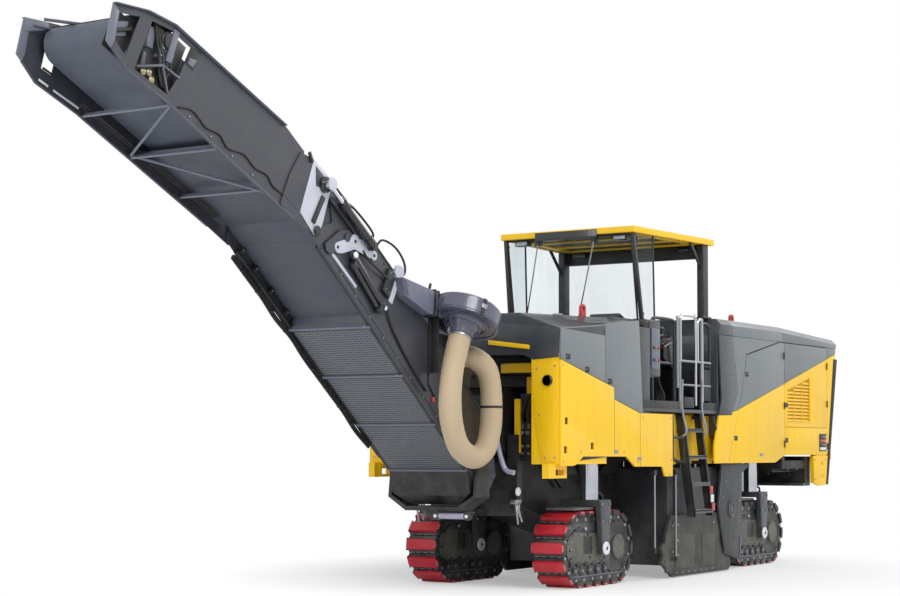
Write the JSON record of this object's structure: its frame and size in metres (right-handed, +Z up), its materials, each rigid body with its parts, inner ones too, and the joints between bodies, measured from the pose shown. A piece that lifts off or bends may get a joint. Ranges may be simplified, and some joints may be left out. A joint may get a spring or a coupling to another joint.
{
  "type": "large cold planer milling machine",
  "caption": "Four-track cold planer for road surfaces, with a milling drum under the frame, an open roofed platform and a folding discharge conveyor at the front.",
  "frame": {"origin": "on the ground, midway along and across the whole machine with its conveyor unfolded", "axes": "+X forward towards the conveyor tip, +Y to the machine's left, +Z up"},
  "size_m": [13.5412, 2.6816, 5.0304],
  "materials": {
    "body_yellow": "satin",
    "body_grey": "satin",
    "anthracite": "satin",
    "black_steel": "satin",
    "conveyor_paint": "satin",
    "belt_rubber": "matte",
    "red_pad": "matte",
    "chrome": "polished",
    "glass": "clear",
    "duct_beige": "matte",
    "tool_steel": "rough",
    "red_paint": "satin",
    "seat_cover": "matte"
  },
  "bodies": {
    "chassis": {"main_frame": "black_steel", "leg_guides": "black_steel", "drum_housing_roof": "black_steel", "drum_housing_ends": "black_steel", "drum_front_wall": "black_steel", "scraper_blade": "black_steel", "primary_conveyor": "black_steel", "front_towers": "body_yellow", "hydraulic_tank": "black_steel", "front_bulkhead": "black_steel", "front_cowl": "anthracite", "flank_panels": "body_yellow", "platform_floor": "anthracite", "recess_panels": "body_yellow", "dashboard": "anthracite", "operator_consoles": "black_steel", "operator_stools": "seat_cover", "ladders": "black_steel", "handrails": "black_steel", "roof": "body_yellow", "roof_posts": "black_steel", "windscreen": "glass", "hood_top": "body_grey", "hood_cheeks": "body_yellow", "platform_rear_wall": "anthracite", "hood_tail": "body_yellow", "engine_block": "black_steel", "lifting_eyes": "red_paint"},
    "milling_drum": {"milling_drum": "tool_steel"},
    "side_plate_left": {"side_plate_left": "anthracite"},
    "side_plate_right": {"side_plate_right": "anthracite"},
    "service_door_left": {"service_door_left": "body_yellow"},
    "service_door_right": {"service_door_right": "body_yellow"},
    "louvre_door_left": {"louvre_door_left": "body_yellow"},
    "louvre_door_right": {"louvre_door_right": "body_yellow"},
    "conveyor_cradle": {"slew_cradle": "black_steel"},
    "conveyor_lower": {"lower_sides": "conveyor_paint", "lower_apron": "black_steel", "lower_guards": "conveyor_paint", "lower_belt": "belt_rubber", "dust_cover": "conveyor_paint", "blower": "black_steel", "suction_hose": "duct_beige"},
    "conveyor_upper": {"upper_sides": "conveyor_paint", "upper_pan": "conveyor_paint", "upper_belt": "belt_rubber"},
    "fold_barrels": {"fold_barrels": "black_steel"},
    "fold_rods": {"fold_rods": "black_steel"},
    "leg_front_left": {"leg_column_front_left": "chrome"},
    "track_front_left": {"track_frame_front_left": "black_steel", "track_loop_front_left": "red_pad"},
    "leg_front_right": {"leg_column_front_right": "chrome"},
    "track_front_right": {"track_frame_front_right": "black_steel", "track_loop_front_right": "red_pad"},
    "leg_rear_left": {"leg_column_rear_left": "chrome"},
    "track_rear_left": {"track_frame_rear_left": "black_steel", "track_loop_rear_left": "red_pad"},
    "leg_rear_right": {"leg_column_rear_right": "chrome"},
    "track_rear_right": {"track_frame_rear_right": "black_steel", "track_loop_rear_right": "red_pad"}
  },
  "joints": [
    {"name": "conveyor_swing", "type": "hinge", "parent": "chassis", "child": "conveyor_cradle", "pos_m": [1.33, 0, 0.85], "axis": [0, 0, 1], "range_deg": [-45, 45]},
    {"name": "conveyor_lift", "type": "hinge", "parent": "conveyor_cradle", "child": "conveyor_lower", "pos_m": [1.33, 0, 1.4], "axis": [0, 1, 0], "range_deg": [0, 28]},
    {"name": "conveyor_fold", "type": "hinge", "parent": "conveyor_lower", "child": "conveyor_upper", "pos_m": [4.098, 0, 3.46439], "axis": [0, 1, 0], "range_deg": [0, 105]},
    {"name": "fold_barrel_tilt", "type": "hinge", "parent": "conveyor_lower", "child": "fold_barrels", "pos_m": [3.28907, 0, 3.39521], "axis": [0, 1, 0], "range_deg": [0, 32.82]},
    {"name": "fold_rod_slide", "type": "slide", "parent": "fold_barrels", "child": "fold_rods", "axis": [0.8086, 0, 0.5884], "range_m": [0, 0.40586]},
    {"name": "leg_lift_front_left", "type": "slide", "parent": "chassis", "child": "leg_front_left", "axis": [0, 0, 1], "range_m": [-0.1, 0.32]},
    {"name": "leg_lift_front_right", "type": "slide", "parent": "chassis", "child": "leg_front_right", "axis": [0, 0, 1], "range_m": [-0.1, 0.32]},
    {"name": "leg_lift_rear_left", "type": "slide", "parent": "chassis", "child": "leg_rear_left", "axis": [0, 0, 1], "range_m": [-0.1, 0.32]},
    {"name": "leg_lift_rear_right", "type": "slide", "parent": "chassis", "child": "leg_rear_right", "axis": [0, 0, 1], "range_m": [-0.1, 0.32]},
    {"name": "steer_front_left", "type": "hinge", "parent": "leg_front_left", "child": "track_front_left", "pos_m": [-0.35, 0.86, 0.935], "axis": [0, 0, 1], "range_deg": [-15, 15]},
    {"name": "steer_front_right", "type": "hinge", "parent": "leg_front_right", "child": "track_front_right", "pos_m": [-0.35, -0.86, 0.935], "axis": [0, 0, 1], "range_deg": [-15, 15]},
    {"name": "steer_rear_left", "type": "hinge", "parent": "leg_rear_left", "child": "track_rear_left", "pos_m": [-4.6, 0.86, 0.935], "axis": [0, 0, 1], "range_deg": [-12, 12]},
    {"name": "steer_rear_right", "type": "hinge", "parent": "leg_rear_right", "child": "track_rear_right", "pos_m": [-4.6, -0.86, 0.935], "axis": [0, 0, 1], "range_deg": [-12, 12]},
    {"name": "drum_spin", "type": "hinge", "parent": "chassis", "child": "milling_drum", "pos_m": [-2.52, 0, 0.52], "axis": [0, 1, 0], "continuous": true},
    {"name": "side_plate_lift_left", "type": "slide", "parent": "chassis", "child": "side_plate_left", "axis": [0, 0, 1], "range_m": [0, 0.25]},
    {"name": "side_plate_lift_right", "type": "slide", "parent": "chassis", "child": "side_plate_right", "axis": [0, 0, 1], "range_m": [0, 0.25]},
    {"name": "service_door_left", "type": "hinge", "parent": "chassis", "child": "service_door_left", "pos_m": [-4.941, 1.216, 2.1], "axis": [0, 0, 1], "range_deg": [0, 90]},
    {"name": "louvre_door_left", "type": "hinge", "parent": "chassis", "child": "louvre_door_left", "pos_m": [-6.42, 1.216, 2.1], "axis": [0, 0, 1], "range_deg": [0, 100]},
    {"name": "service_door_right", "type": "hinge", "parent": "chassis", "child": "service_door_right", "pos_m": [-4.941, -1.216, 2.1], "axis": [0, 0, -1], "range_deg": [0, 90]},
    {"name": "louvre_door_right", "type": "hinge", "parent": "chassis", "child": "louvre_door_right", "pos_m": [-6.42, -1.216, 2.1], "axis": [0, 0, -1], "range_deg": [0, 100]}
  ],
  "couplings": [
    {"joint": "fold_barrel_tilt", "follows": "conveyor_fold", "ratio": 0.31254},
    {"joint": "fold_rod_slide", "follows": "conveyor_fold", "m_per_rad": 0.22147},
    {"joint": "steer_front_right", "follows": "steer_front_left", "ratio": 1},
    {"joint": "steer_rear_right", "follows": "steer_rear_left", "ratio": 1}
  ]
}
